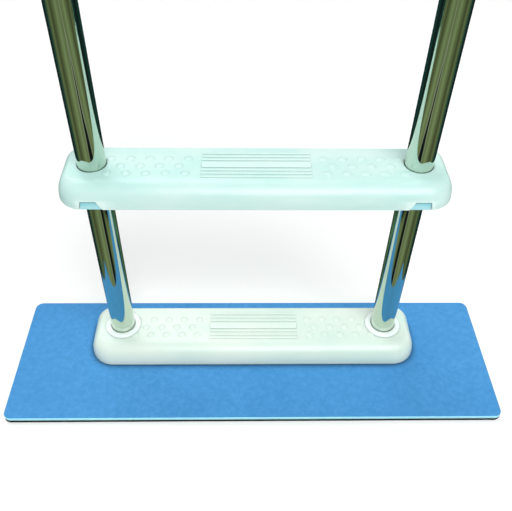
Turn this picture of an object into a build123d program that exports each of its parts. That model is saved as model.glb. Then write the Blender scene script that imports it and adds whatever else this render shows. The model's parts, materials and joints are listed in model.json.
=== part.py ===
"""In-pool deck ladder: two stainless tube rails, four moulded treads, hinged deck flanges and a floor mat.

Frame: +Z up, origin on the pool floor midway between the two rail axes. -Y is the climber's side,
+Y the wall and deck side. Sizes in millimetres.
"""

import os
from math import cos, radians, sin, sqrt

from build123d import *

# ------------------------------------------------------------------ driving sizes
TUBE_OD = 38.1
TUBE_WALL = 1.5
RAIL_SPACING = 432.0

TREAD_COUNT = 4
TREAD_PITCH = 328.0
TREAD_LENGTH = 518.0
BOTTOM_TREAD_LENGTH = 532.0
TREAD_BACK = 39.0
TREAD_FRONT = 60.0
TREAD_HEIGHT = 30.0
TREAD_SKIN = 3.2
TREAD_TOP_SKIN = 4.0

MAT_LENGTH = 766.0
MAT_DEPTH = 235.0
MAT_BACK = 76.0
MAT_BACKING = 5.0
MAT_FOAM = 6.0
MAT_CORNER = 12.0

HANDRAIL_REACH = 360.0
HANDRAIL_RISE = 610.0
RAIL_JOINT_ABOVE_TREAD = 150.0

M6 = 6.0
PIN_DIAMETER = 10.0
RUNNING_CLEARANCE = 0.05
SLIP_CLEARANCE = 0.25
LAY_GAP = 0.2

# tread form, its grip pattern and its underside
CORNER_X, CORNER_Y = 38.0, 38.0
REAR_CORNER_X, REAR_CORNER_Y = 20.0, 16.0
NOSE_ROUND = 28.0
END_ROUND = 14.0
BACK_ROUND = 3.0
SKIRT_STRAIGHT = 1.0
SECTION_ANGLES = (0, 8, 16, 26, 38, 50, 62, 76, 90)
GRIP_CENTRE_Y = -3.0
RIB_HALF_LENGTH = 72.5
RIB_WIDTH, RIB_RISE = 3.6, 1.5
RIB_OFFSETS = (11.3, 18.5, 25.7)
BAND_WIDTH, BAND_EDGE = 12.0, 0.9
BUMP_DIAMETER, BUMP_RISE = 13.0, 1.6
BUMP_PITCH = 25.4
BUMP_ROWS = ((10.7, 5, 90.0), (-5.5, 4, 101.5), (-21.7, 5, 92.5))
NOTCH_IN, NOTCH_OUT = -11.0, 9.0
NOTCH_RISE, NOTCH_SLOPE, NOTCH_DRAFT = 11.5, 10.0, 2.0
NOTCH_DEPTH = 12.0
BOLT_DROP = 15.0
BOSS_R, BOSS_DEPTH = 26.0, 25.0
STIFFENER, STIFFENER_DEPTH = 2.4, 26.0
STIFFENER_X = (0.0, 62.0, 124.0, 180.0)
STIFFENER_Y = (-24.0, 12.0)
RAIL_HOLE_CLEARANCE = 0.55

# rail clamps, tread bolts and nuts
CLAMP_HALF = 15.0
CLAMP_TOP = 6.5
CLAMP_BACK, POCKET_BACK = -10.0, -9.0
CLAMP_CLEARANCE = 0.3
LUG_GAP, LUG_INSET, LUG_OVERLAP = 0.8, 1.6, 4.0
NUT_FLATS, NUT_THICK = 10.0, 5.0
NUT_SLOT_GAP = 0.15
NUT_Y = -31.0
NUT_CROWN_CUT = 0.35
HEAD_R, HEAD_THICK = 5.5, 3.3
BOLT_PAST_NUT = 11.0

# rails, sleeve joints, plugs and collars
RAIL_FOOT_ABOVE_MAT = 6.0
PLUG_LIP, PLUG_DEPTH, PLUG_ROUND = 3.0, 5.5, 1.2
PLUG_STEM_BORE_R, PLUG_RING_BORE_R = 13.0, 14.0
PLUG_RING_Z, PLUG_RING_THICK = (1.0, 3.6), 1.2
SLEEVE_HALF, SLEEVE_WALL = 80.0, 2.0
JOINT_BOLT_OFFSET = 40.0
JOINT_BOLT_PAST_TUBE = 6.0
END_CHAMFER = 0.5
COLLAR_R, COLLAR_SLEEVE_R, COLLAR_DEPTH = 29.0, 22.6, 22.0
COLLAR_BORE_GAP, COLLAR_SEAT_GAP = 0.15, 0.4
COLLAR_FLAT_R, COLLAR_TOP = 25.0, 3.8

# deck flanges, hinge pins and bushes
FLANGE_X, FLANGE_Y, FLANGE_THICK = 116.0, 92.0, 6.0
FLANGE_CORNER, FLANGE_EDGE = 14.0, 2.5
GASKET_THICK = 3.0
DECK_HOLE_X, DECK_HOLE_Y, DECK_HOLE_R = 90.0, 66.0, 3.5
PIN_ABOVE_PLATE = 34.0
RAIL_END_BELOW_PIN = 17.0
EAR_THICK, EAR_R, EAR_EDGE = 6.0, 16.0, 1.5
EAR_FOOT_HALF = 30.0
EAR_GAP = TUBE_OD + 2.6
EAR_BOSS_R, EAR_BOSS_THICK = 12.0, 2.0
BUSH_R, BUSH_LIP_R = 7.5, 12.5
BUSH_INNER_END = 8.0
PIN_HEAD_R, PIN_HEAD_THICK = 9.0, 5.0
PIN_PAST_EARS = 9.0
CAP_LIP, CAP_STEM, CAP_WALL, CAP_ROUND = 2.0, 7.5, 2.95, 1.2

# small modelling allowances
CUT_OVERRUN = 5.0
FUSE_OVERLAP = 0.5
THREAD_GAP = 0.02
PRESS_GAP = 0.05

# ------------------------------------------------------------------ derived places
TUBE_R = TUBE_OD / 2
TUBE_BORE_R = TUBE_R - TUBE_WALL
RAIL_X = RAIL_SPACING / 2
MAT_TOP = MAT_BACKING + MAT_FOAM
TREAD_TOPS = [MAT_TOP + LAY_GAP + TREAD_HEIGHT + k * TREAD_PITCH for k in range(TREAD_COUNT)]
DECK_Z = TREAD_TOPS[-1] + TREAD_PITCH
RAIL_JOINT_Z = TREAD_TOPS[-1] + RAIL_JOINT_ABOVE_TREAD
RAIL_FOOT_Z = MAT_TOP + RAIL_FOOT_ABOVE_MAT
BEND_R = HANDRAIL_REACH / 2
BEND_Z = DECK_Z + HANDRAIL_RISE - BEND_R
PIN_Z = DECK_Z + GASKET_THICK + FLANGE_THICK + PIN_ABOVE_PLATE
BOLT_HOLE_R = M6 / 2 + SLIP_CLEARANCE
EAR_REACH = EAR_GAP / 2 + EAR_THICK + EAR_BOSS_THICK
SIDES = {"left": -1, "right": 1}


def cylinder(radius, start, end):
    """A solid cylinder between two points."""
    axis = Vector(*end) - Vector(*start)
    standing = (Align.CENTER, Align.CENTER, Align.MIN)
    return Plane(origin=start, z_dir=axis) * Cylinder(radius, axis.length, align=standing)


def box(x, y, z):
    """A box from (low, high) pairs."""
    centre = [(low + high) / 2 for low, high in (x, y, z)]
    return Pos(*centre) * Box(x[1] - x[0], y[1] - y[0], z[1] - z[0])


# ------------------------------------------------------------------ tread shell
def plan_outline(z, half_length, front, back, front_corner, rear_corner):
    """A flat closed outline with elliptical corners, at height z."""
    fx, fy = front_corner
    rx, ry = rear_corner
    right_front = (half_length - fx, -front + fy)
    right_rear = (half_length - rx, back - ry)
    edges = [
        Line((-right_front[0], -front), (right_front[0], -front)),
        EllipticalCenterArc(right_front, fx, fy, start_angle=-90, arc_size=90),
        Line((half_length, right_front[1]), (half_length, right_rear[1])),
        EllipticalCenterArc(right_rear, rx, ry, start_angle=0, arc_size=90),
        Line((right_rear[0], back), (-right_rear[0], back)),
        EllipticalCenterArc((-right_rear[0], right_rear[1]), rx, ry, start_angle=90, arc_size=90),
        Line((-half_length, right_rear[1]), (-half_length, right_front[1])),
        EllipticalCenterArc((-right_front[0], right_front[1]), fx, fy, start_angle=180, arc_size=90),
    ]
    return Pos(0, 0, z) * make_face(edges)


def tread_block(top, skin, bottom, length=TREAD_LENGTH):
    """The tread's rounded block, inset by skin: a quarter-round nose, softer ends and a near-square back."""
    nose, end, back_round = NOSE_ROUND - skin, END_ROUND - skin, max(BACK_ROUND - skin, 0.0)
    rise = TREAD_HEIGHT - SKIRT_STRAIGHT + top
    sections = []
    for angle in SECTION_ANGLES:
        share = 1 - sin(radians(angle))
        drop = rise * (1 - cos(radians(angle)))
        inset_end, inset_front, inset_back = end * share, nose * share, back_round * share
        sections.append(
            plan_outline(
                top - drop,
                length / 2 - skin - inset_end,
                TREAD_FRONT - skin - inset_front,
                TREAD_BACK - skin - inset_back,
                (CORNER_X - skin - inset_end, CORNER_Y - skin - inset_front),
                (REAR_CORNER_X - skin - inset_end, REAR_CORNER_Y - skin - inset_back),
            )
        )
    upper = loft(sections)
    lower = extrude(sections[-1], amount=top - rise - bottom, dir=(0, 0, -1))
    return upper.fuse(lower)


def grip_pattern():
    """Domed ribs, a flat centre band and two fields of domed bumps that stand on the tread's top."""
    rib_r = ((RIB_WIDTH / 2) ** 2 + RIB_RISE**2) / (2 * RIB_RISE)
    bump_r = ((BUMP_DIAMETER / 2) ** 2 + BUMP_RISE**2) / (2 * BUMP_RISE)
    raised = []
    for offset in RIB_OFFSETS:
        for side in (-1, 1):
            y, z = GRIP_CENTRE_Y + side * offset, RIB_RISE - rib_r
            rib = cylinder(rib_r, (-RIB_HALF_LENGTH, y, z), (RIB_HALF_LENGTH, y, z))
            raised.append(rib)
    band = Pos(0, GRIP_CENTRE_Y, 0) * Box(2 * RIB_HALF_LENGTH, BAND_WIDTH, 2 * RIB_RISE)
    raised.append(fillet(band.edges().group_by(Axis.Z)[-1], BAND_EDGE))
    reach = BUMP_DIAMETER
    cap = Sphere(bump_r) & box((-reach, reach), (-reach, reach), (bump_r - BUMP_RISE - 1.0, 2 * bump_r))
    cap = Pos(0, 0, BUMP_RISE - bump_r) * cap
    for row_y, count, first_x in BUMP_ROWS:
        for k in range(count):
            for side in (-1, 1):
                raised.append(Pos(side * (first_x + k * BUMP_PITCH), row_y, 0) * cap)
    return raised


def notch_shape(side, gap, depth):
    """The trapezoid notch in the front skirt below a rail, as a prism between two y places.

    A gap shrinks it all round, which makes the lug that fills it.
    """
    low = -TREAD_HEIGHT - (0.0 if gap else 1.0)
    high = -TREAD_HEIGHT + NOTCH_RISE - gap
    slope = NOTCH_SLOPE * (high - low) / NOTCH_RISE
    draft = NOTCH_DRAFT * (high - low) / NOTCH_RISE
    inner, outer = RAIL_X + NOTCH_IN + gap, RAIL_X + NOTCH_OUT - gap
    corners = [(inner, high), (outer, high), (outer + draft, low), (inner - slope, low)]
    outline = Polyline(*[(side * x, z) for x, z in corners], close=True)
    front, back = depth
    return Pos(0, back, 0) * extrude(Plane.XZ * make_face(outline), amount=back - front)


def underside_webs(cavity):
    """Stiffening webs and rail bosses, kept inside the tread's hollow."""
    half = STIFFENER / 2
    webs = []
    for x in STIFFENER_X:
        for place in {-x, x}:
            webs.append(box((place - half, place + half), (-TREAD_FRONT, TREAD_BACK), (-STIFFENER_DEPTH, -1)))
    for y in STIFFENER_Y:
        webs.append(box((-RAIL_X, RAIL_X), (y - half, y + half), (-STIFFENER_DEPTH, -1)))
    for side in SIDES.values():
        webs.append(cylinder(BOSS_R, (side * RAIL_X, 0, -1), (side * RAIL_X, 0, -BOSS_DEPTH)))
    return [web & cavity for web in webs]


def tread_shell(length, hole_r, seat_r=0.0):
    """A moulded tread with its top at z 0: skin, rail bosses, stiffening webs and grip pattern.

    A seat radius clears the grip pattern round each rail, where a collar sits. That tread has a plain skirt,
    and the others have a notch below each rail.
    """
    below = -TREAD_HEIGHT - CUT_OVERRUN
    hollow = tread_block(-TREAD_TOP_SKIN, TREAD_SKIN, below, length)
    cavity = tread_block(-TREAD_TOP_SKIN + FUSE_OVERLAP, TREAD_SKIN - FUSE_OVERLAP, below, length)
    shell = tread_block(0, 0, -TREAD_HEIGHT, length) - hollow
    shell = shell.fuse(*underside_webs(cavity), *grip_pattern())
    pocket_half = CLAMP_HALF + CLAMP_CLEARANCE
    cuts = []
    for side in SIDES.values():
        x = side * RAIL_X
        cuts.append(cylinder(hole_r, (x, 0, below), (x, 0, CUT_OVERRUN)))
        if seat_r:
            cuts.append(cylinder(seat_r, (x, 0, 0), (x, 0, CUT_OVERRUN)))
        else:
            cuts.append(notch_shape(side, 0.0, (-TREAD_FRONT - CUT_OVERRUN, -TREAD_FRONT + NOTCH_DEPTH)))
        pocket = box((x - pocket_half, x + pocket_half), (-TREAD_FRONT, POCKET_BACK),
                     (below, -CLAMP_TOP + CLAMP_CLEARANCE))
        cuts.append(pocket & hollow)
        bolt_end = (x, TREAD_BACK + CUT_OVERRUN, -BOLT_DROP)
        cuts.append(cylinder(BOLT_HOLE_R, (x, 10, -BOLT_DROP), bolt_end))
    return shell.cut(*cuts)


# ------------------------------------------------------------------ rail clamps and tread bolts
def rail_clamp(side, lugged):
    """The moulded saddle that is pulled against the rail's front; its lug, if any, closes the skirt's notch."""
    x = side * RAIL_X
    front = -TREAD_FRONT + TREAD_SKIN + 1.2
    block = box((x - CLAMP_HALF, x + CLAMP_HALF), (front, CLAMP_BACK), (-TREAD_HEIGHT + 1.0, -CLAMP_TOP))
    block &= tread_block(-TREAD_TOP_SKIN - 0.6, TREAD_SKIN + 0.8, -TREAD_HEIGHT + 0.5)
    if lugged:
        block = block.fuse(notch_shape(side, LUG_GAP, (-TREAD_FRONT + LUG_INSET, front + LUG_OVERLAP)))
    half = NUT_FLATS / 2 + NUT_SLOT_GAP
    hexagon = extrude(RegularPolygon(half, 6, major_radius=False), NUT_THICK + 0.4)
    nut_slot = Pos(x, NUT_Y + 0.2, -BOLT_DROP) * Rot(X=90) * hexagon
    nut_slot += box((x - half, x + half), (NUT_Y - NUT_THICK - 0.2, NUT_Y + 0.2), (-TREAD_HEIGHT, -BOLT_DROP))
    bolt_room = cylinder(BOLT_HOLE_R, (x, -46, -BOLT_DROP), (x, 0, -BOLT_DROP))
    rail_room = cylinder(TUBE_R + 0.1, (x, 0, -TREAD_HEIGHT), (x, 0, 0))
    return block.cut(nut_slot, bolt_room, rail_room)


def hex_nut(flats, thick, bore):
    """A hex nut on the Z axis, standing on z 0."""
    body = extrude(RegularPolygon(flats / 2, 6, major_radius=False), thick)
    corner = flats / 2 / cos(radians(30))
    crown = Pos(0, 0, thick / 2) * Sphere(sqrt(corner**2 + (thick / 2) ** 2) - NUT_CROWN_CUT)
    return (body & crown) - Cylinder(bore / 2, 4 * thick)


def cap_nut(flats, thick, dome_r, dome_top, bore, bore_depth):
    """A domed nut on the Z axis, standing on z 0, with a blind bore."""
    dome = Pos(0, 0, thick - FUSE_OVERLAP) * Sphere(dome_r)
    dome &= box((-flats, flats), (-flats, flats), (thick - FUSE_OVERLAP, dome_top))
    nut = extrude(RegularPolygon(flats / 2, 6, major_radius=False), thick).fuse(dome)
    return nut - cylinder(bore / 2, (0, 0, -1), (0, 0, bore_depth))


def button_bolt(length, head_r=HEAD_R, head_thick=HEAD_THICK, shank=M6):
    """A button-head bolt on the Z axis: the head stands on z 0 and the shank goes down."""
    dome_r = (head_r**2 + head_thick**2) / (2 * head_thick)
    dome = Pos(0, 0, head_thick - dome_r) * Sphere(dome_r)
    head = dome & Pos(0, 0, head_thick / 2) * Box(4 * head_r, 4 * head_r, head_thick)
    hexagon = RegularPolygon(shank / 3, 6, major_radius=False)
    socket = extrude(Pos(0, 0, head_thick) * hexagon, -head_thick * 0.6)
    return (head - socket).fuse(cylinder(shank / 2, (0, 0, -length), (0, 0, 0.01)))


def tread_bolts(top):
    """Two bolts that enter through the back skirt, cross the rails and reach the nuts in the clamps."""
    bolt = Rot(X=-90) * button_bolt(TREAD_BACK - NUT_Y + BOLT_PAST_NUT)
    return [Pos(s * RAIL_X, TREAD_BACK, top - BOLT_DROP) * bolt for s in SIDES.values()]


def tread_nuts(top):
    """The two nuts that the tread bolts draw up, one in each clamp."""
    nut = Rot(X=90) * hex_nut(NUT_FLATS, NUT_THICK, M6 + THREAD_GAP)
    return [Pos(s * RAIL_X, NUT_Y, top - BOLT_DROP) * nut for s in SIDES.values()]


# ------------------------------------------------------------------ rails
def tube(path_start, path_end):
    """A straight piece of the rails' tube."""
    outer = cylinder(TUBE_R, path_start, path_end)
    return outer - cylinder(TUBE_BORE_R, path_start, path_end)


def lower_rail(x):
    """The straight in-pool tube, with the cross holes for the tread bolts and the joint bolt."""
    rail = tube((x, 0, RAIL_FOOT_Z), (x, 0, RAIL_JOINT_Z))
    rail = chamfer(rail.edges().filter_by(GeomType.CIRCLE).sort_by(SortBy.RADIUS)[-2:], END_CHAMFER)
    holes = []
    for top in TREAD_TOPS:
        z = top - BOLT_DROP
        holes.append(cylinder(BOLT_HOLE_R, (x, -TUBE_OD, z), (x, TUBE_OD, z)))
    z = RAIL_JOINT_Z - JOINT_BOLT_OFFSET
    holes.append(cylinder(BOLT_HOLE_R, (x - TUBE_OD, 0, z), (x + TUBE_OD, 0, z)))
    return rail.cut(*holes)


def handrail_path(x):
    """Up from the joint, over a half-circle bend towards the deck, and down to the hinge."""
    y = HANDRAIL_REACH
    rise = Line((x, 0, RAIL_JOINT_Z), (x, 0, BEND_Z))
    bend = ThreePointArc((x, 0, BEND_Z), (x, BEND_R, BEND_Z + BEND_R), (x, y, BEND_Z))
    fall = Line((x, y, BEND_Z), (x, y, PIN_Z - RAIL_END_BELOW_PIN))
    return Wire([rise, bend, fall])


def handrail(x):
    """The bent upper tube; its deck end has the cross hole for the hinge bushes."""
    path = handrail_path(x)
    start = Plane(origin=(x, 0, RAIL_JOINT_Z), z_dir=(0, 0, 1))
    rail = sweep(start * Circle(TUBE_R), path=path) - sweep(start * Circle(TUBE_BORE_R), path=path)
    z = RAIL_JOINT_Z + JOINT_BOLT_OFFSET
    joint_hole = cylinder(BOLT_HOLE_R, (x - TUBE_OD, 0, z), (x + TUBE_OD, 0, z))
    y = HANDRAIL_REACH
    hinge_hole = cylinder(BUSH_R + THREAD_GAP, (x - TUBE_OD, y, PIN_Z), (x + TUBE_OD, y, PIN_Z))
    rail = rail.cut(joint_hole, hinge_hole)
    joint_rim = rail.edges().filter_by(GeomType.CIRCLE).group_by(Axis.Z)
    rims = [e for group in joint_rim for e in group
            if abs(e.radius - TUBE_R) < 1e-3 and abs(e.center().Z - RAIL_JOINT_Z) < 1e-3]
    return chamfer(rims, END_CHAMFER)


def rail_sleeve(x):
    """The inner sleeve that joins the straight tube to the handrail."""
    r = TUBE_BORE_R - PRESS_GAP
    low, high = RAIL_JOINT_Z - SLEEVE_HALF, RAIL_JOINT_Z + SLEEVE_HALF
    sleeve = cylinder(r, (x, 0, low), (x, 0, high)) - cylinder(r - SLEEVE_WALL, (x, 0, low), (x, 0, high))
    for z in (RAIL_JOINT_Z - JOINT_BOLT_OFFSET, RAIL_JOINT_Z + JOINT_BOLT_OFFSET):
        sleeve -= cylinder(BOLT_HOLE_R, (x - TUBE_OD, 0, z), (x + TUBE_OD, 0, z))
    return sleeve


def rail_joint_bolts(side):
    """Two bolts across the sleeve joint, heads outboard."""
    x = side * RAIL_X
    bolt = Rot(Y=side * 90) * button_bolt(TUBE_OD + JOINT_BOLT_PAST_TUBE)
    head_x = x + side * TUBE_R
    return [Pos(head_x, 0, RAIL_JOINT_Z + dz) * bolt for dz in (-JOINT_BOLT_OFFSET, JOINT_BOLT_OFFSET)]


def rail_joint_nuts(side):
    """Domed nuts on the inboard ends of the joint bolts."""
    nut = Rot(Y=-side * 90) * cap_nut(10.0, 5.0, 4.6, 15.5, M6 + THREAD_GAP, 6.2)
    x = side * (RAIL_X - TUBE_R)
    return [Pos(x, 0, RAIL_JOINT_Z + dz) * nut for dz in (-JOINT_BOLT_OFFSET, JOINT_BOLT_OFFSET)]


def tube_plug():
    """A push-in end plug on the Z axis: the lip is below z 0, the ringed stem goes up."""
    lip = Pos(0, 0, -PLUG_LIP / 2) * Cylinder(TUBE_R - 0.2, PLUG_LIP)
    lip = fillet(lip.edges().group_by(Axis.Z)[0], PLUG_ROUND)
    stem = cylinder(TUBE_BORE_R - 0.6, (0, 0, 0), (0, 0, PLUG_DEPTH))
    stem -= cylinder(PLUG_STEM_BORE_R, (0, 0, 2), (0, 0, PLUG_DEPTH + 1))
    rings = []
    for z in PLUG_RING_Z:
        ring = cylinder(TUBE_BORE_R - THREAD_GAP, (0, 0, z), (0, 0, z + PLUG_RING_THICK))
        rings.append(ring - cylinder(PLUG_RING_BORE_R, (0, 0, z - 1), (0, 0, z + 3)))
    return lip.fuse(stem, *rings)


def foot_collar(x):
    """The raised moulded collar that seats a rail in the bottom tread."""
    bore = TUBE_R + COLLAR_BORE_GAP
    edge_z, rest_z = 0.6, THREAD_GAP
    flat = (COLLAR_FLAT_R, COLLAR_TOP)
    inside = Polyline((bore, 2.2), (bore + 1.0, 3.4), flat)
    crown = Spline(flat, (27.6, 2.9), (COLLAR_R, edge_z), tangents=((1, -0.1), (0.1, -1)))
    skirt = Polyline((COLLAR_R, edge_z), (COLLAR_R, rest_z), (COLLAR_SLEEVE_R, rest_z),
                     (COLLAR_SLEEVE_R, -COLLAR_DEPTH), (bore, -COLLAR_DEPTH), (bore, 2.2))
    face = Plane.XZ * make_face([*inside.edges(), crown, *skirt.edges()])
    ring = revolve(face, Axis.Z, 360)
    pocket_half = CLAMP_HALF + 0.4
    ring -= box((-pocket_half, pocket_half), (-40, POCKET_BACK), (-TREAD_HEIGHT, -CLAMP_TOP + 0.4))
    ring -= cylinder(BOLT_HOLE_R, (0, 10, -BOLT_DROP), (0, 40, -BOLT_DROP))
    return Pos(x, 0, TREAD_TOPS[0]) * ring


# ------------------------------------------------------------------ deck hinges
def deck_plate(thick):
    """A rounded plate with the four deck-bolt holes, standing on z 0 at the origin."""
    plate = extrude(RectangleRounded(FLANGE_X, FLANGE_Y, FLANGE_CORNER), thick)
    hole = Cylinder(DECK_HOLE_R, 4 * thick)
    holes = [Pos(sx * DECK_HOLE_X / 2, sy * DECK_HOLE_Y / 2, 0) * hole for sx in (-1, 1) for sy in (-1, 1)]
    return plate.cut(*holes)


def flange_ear(side, pin_z):
    """One ear of the deck bracket, tapering up to the pin, with a boss on its outer face."""
    foot_z = FLANGE_THICK - FUSE_OVERLAP
    foot = Polyline((-EAR_FOOT_HALF, foot_z), (EAR_FOOT_HALF, foot_z))
    outline = make_hull([CenterArc((0, pin_z), EAR_R, 0, 360), *foot.edges()])
    ear = extrude(Plane.YZ * outline, EAR_THICK * side)
    rims = [edge for edge in ear.edges()
            if abs(edge.center().X - side * EAR_THICK) < 1e-3 and edge.center().Z > FLANGE_THICK + 1]
    boss = cylinder(EAR_BOSS_R, (side * EAR_THICK, 0, pin_z), (side * (EAR_THICK + EAR_BOSS_THICK), 0, pin_z))
    return Pos(side * EAR_GAP / 2, 0, 0) * fillet(rims, EAR_EDGE).fuse(boss)


def deck_flange(x):
    """The cast deck bracket: a bolted base and two ears that carry the hinge pin."""
    pin_z = FLANGE_THICK + PIN_ABOVE_PLATE
    base = deck_plate(FLANGE_THICK)
    base = fillet(base.faces().sort_by(Axis.Z)[-1].outer_wire().edges(), FLANGE_EDGE)
    bracket = base.fuse(flange_ear(-1, pin_z), flange_ear(1, pin_z))
    bracket -= cylinder(PIN_DIAMETER / 2 + RUNNING_CLEARANCE, (-60, 0, pin_z), (60, 0, pin_z))
    return Pos(x, HANDRAIL_REACH, DECK_Z + GASKET_THICK) * bracket


def flange_gasket(x):
    """The rubber pad between a deck bracket and the deck."""
    return Pos(x, HANDRAIL_REACH, DECK_Z) * deck_plate(GASKET_THICK)


def hinge_pin(side):
    """A shoulder bolt through both ears, head outboard."""
    bolt = button_bolt(2 * EAR_REACH + PIN_PAST_EARS, PIN_HEAD_R, PIN_HEAD_THICK, PIN_DIAMETER)
    return Pos(side * (RAIL_X + EAR_REACH), HANDRAIL_REACH, PIN_Z) * Rot(Y=side * 90) * bolt


def hinge_nut(side):
    """The domed lock nut on the pin's inboard end."""
    nut = Rot(Y=-side * 90) * cap_nut(16.0, 8.0, 7.6, 24.0, PIN_DIAMETER + THREAD_GAP, 9.5)
    return Pos(side * (RAIL_X - EAR_REACH), HANDRAIL_REACH, PIN_Z) * nut


def hinge_bushes(x):
    """Two flanged nylon bushes in the rail's cross hole; they turn on the pin."""
    bushes = []
    for side in (-1, 1):
        lip = cylinder(BUSH_LIP_R, (side * (TUBE_R + THREAD_GAP), 0, 0), (side * (EAR_GAP / 2 - 0.1), 0, 0))
        barrel = cylinder(BUSH_R, (side * BUSH_INNER_END, 0, 0), (side * (TUBE_R + 0.1), 0, 0))
        bush = barrel.fuse(lip) - cylinder(PIN_DIAMETER / 2 + RUNNING_CLEARANCE, (-40, 0, 0), (40, 0, 0))
        bushes.append(Pos(x, HANDRAIL_REACH, PIN_Z) * bush)
    return bushes


def rail_end_cap(x):
    """A thin closing cap on the handrail's deck end, below the hinge bushes."""
    lip = Pos(0, 0, -CAP_LIP / 2) * Cylinder(TUBE_R - 0.2, CAP_LIP)
    lip = fillet(lip.edges().group_by(Axis.Z)[0], CAP_ROUND)
    outer_r = TUBE_BORE_R - PRESS_GAP
    stem = cylinder(outer_r, (0, 0, 0), (0, 0, CAP_STEM))
    stem -= cylinder(outer_r - CAP_WALL, (0, 0, 1), (0, 0, CAP_STEM + 2))
    return Pos(x, HANDRAIL_REACH, PIN_Z - RAIL_END_BELOW_PIN) * lip.fuse(stem)


# ------------------------------------------------------------------ floor mat
def mat_layer(low, thick, edge):
    """One sheet of the floor mat, with a rounded top edge."""
    sheet = extrude(RectangleRounded(MAT_LENGTH, MAT_DEPTH, MAT_CORNER), thick)
    sheet = fillet(sheet.edges().group_by(Axis.Z)[-1], edge) if edge else sheet
    return Pos(0, MAT_BACK - MAT_DEPTH / 2, low) * sheet


# ------------------------------------------------------------------ assembly
def build_nodes():
    """Every named node as a list of solids in the shared frame."""
    nodes = {
        "mat_backing": [mat_layer(0, MAT_BACKING, 0)],
        "mat_foam": [mat_layer(MAT_BACKING, MAT_FOAM, 2.0)],
    }
    names = ["tread_bottom"] + [f"tread_{k + 1}" for k in range(1, TREAD_COUNT)]
    plain = tread_shell(TREAD_LENGTH, TUBE_R + RAIL_HOLE_CLEARANCE)
    seated = tread_shell(BOTTOM_TREAD_LENGTH, COLLAR_SLEEVE_R + 0.1, COLLAR_R + COLLAR_SEAT_GAP)
    for name, top in zip(names, TREAD_TOPS):
        shell = seated if name == "tread_bottom" else plain
        nodes[name] = [Pos(0, 0, top) * shell]
        nodes[f"{name}_bolts"] = tread_bolts(top)
        nodes[f"{name}_nuts"] = tread_nuts(top)
        for side_name, side in SIDES.items():
            nodes[f"{name}_clamp_{side_name}"] = [Pos(0, 0, top) * rail_clamp(side, name != "tread_bottom")]
    for side_name, side in SIDES.items():
        x = side * RAIL_X
        nodes[f"lower_rail_{side_name}"] = [lower_rail(x)]
        nodes[f"handrail_{side_name}"] = [handrail(x)]
        nodes[f"rail_sleeve_{side_name}"] = [rail_sleeve(x)]
        nodes[f"rail_joint_bolts_{side_name}"] = rail_joint_bolts(side)
        nodes[f"rail_joint_nuts_{side_name}"] = rail_joint_nuts(side)
        nodes[f"foot_plug_{side_name}"] = [Pos(x, 0, RAIL_FOOT_Z) * tube_plug()]
        nodes[f"foot_collar_{side_name}"] = [foot_collar(x)]
        nodes[f"deck_flange_{side_name}"] = [deck_flange(x)]
        nodes[f"flange_gasket_{side_name}"] = [flange_gasket(x)]
        nodes[f"hinge_pin_{side_name}"] = [hinge_pin(side)]
        nodes[f"hinge_nut_{side_name}"] = [hinge_nut(side)]
        nodes[f"hinge_bushes_{side_name}"] = hinge_bushes(x)
        nodes[f"rail_end_cap_{side_name}"] = [rail_end_cap(x)]
    return nodes


os.makedirs("parts", exist_ok=True)
for node_name, shapes in build_nodes().items():
    solids = [solid for shape in shapes for solid in shape.solids()]
    export_step(solids[0] if len(solids) == 1 else Compound(children=solids), f"parts/{node_name}.step")
    print(node_name, len(solids), round(sum(solid.volume for solid in solids)))
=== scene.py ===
"""Pool ladder looks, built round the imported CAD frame. Sizes in metres, +Z up, -Y is the climber's side."""

import json
from math import cos, pi, radians, sin

import bmesh
import bpy
from mathutils import Matrix, Vector


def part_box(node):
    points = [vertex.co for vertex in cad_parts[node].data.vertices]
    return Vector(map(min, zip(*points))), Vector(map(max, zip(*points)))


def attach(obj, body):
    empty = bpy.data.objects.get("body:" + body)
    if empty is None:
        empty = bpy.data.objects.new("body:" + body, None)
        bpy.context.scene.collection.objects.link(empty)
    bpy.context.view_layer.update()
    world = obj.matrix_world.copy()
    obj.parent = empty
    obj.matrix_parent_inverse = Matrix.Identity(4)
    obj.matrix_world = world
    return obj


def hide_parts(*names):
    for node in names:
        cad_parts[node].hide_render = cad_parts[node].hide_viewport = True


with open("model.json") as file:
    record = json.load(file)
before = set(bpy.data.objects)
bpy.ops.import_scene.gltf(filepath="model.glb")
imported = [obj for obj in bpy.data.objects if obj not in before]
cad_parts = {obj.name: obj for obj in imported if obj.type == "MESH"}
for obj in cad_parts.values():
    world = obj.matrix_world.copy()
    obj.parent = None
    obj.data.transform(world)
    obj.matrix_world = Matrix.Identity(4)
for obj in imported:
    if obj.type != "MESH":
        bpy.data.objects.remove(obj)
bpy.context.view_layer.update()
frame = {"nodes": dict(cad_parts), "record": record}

MM = 0.001
WELD = 0.01 * MM
SIDES = ("left", "right")
TREADS = ("tread_bottom", "tread_2", "tread_3", "tread_4")


# ------------------------------------------------------------------ frame facts
def node_box(node):
    low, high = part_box(node)
    return Vector(low), Vector(high)


def rail_axis(side):
    """The place of a straight rail's axis, and its outer radius."""
    low, high = node_box(f"lower_rail_{side}")
    return Vector(((low.x + high.x) / 2, (low.y + high.y) / 2, 0)), (high.x - low.x) / 2


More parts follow.
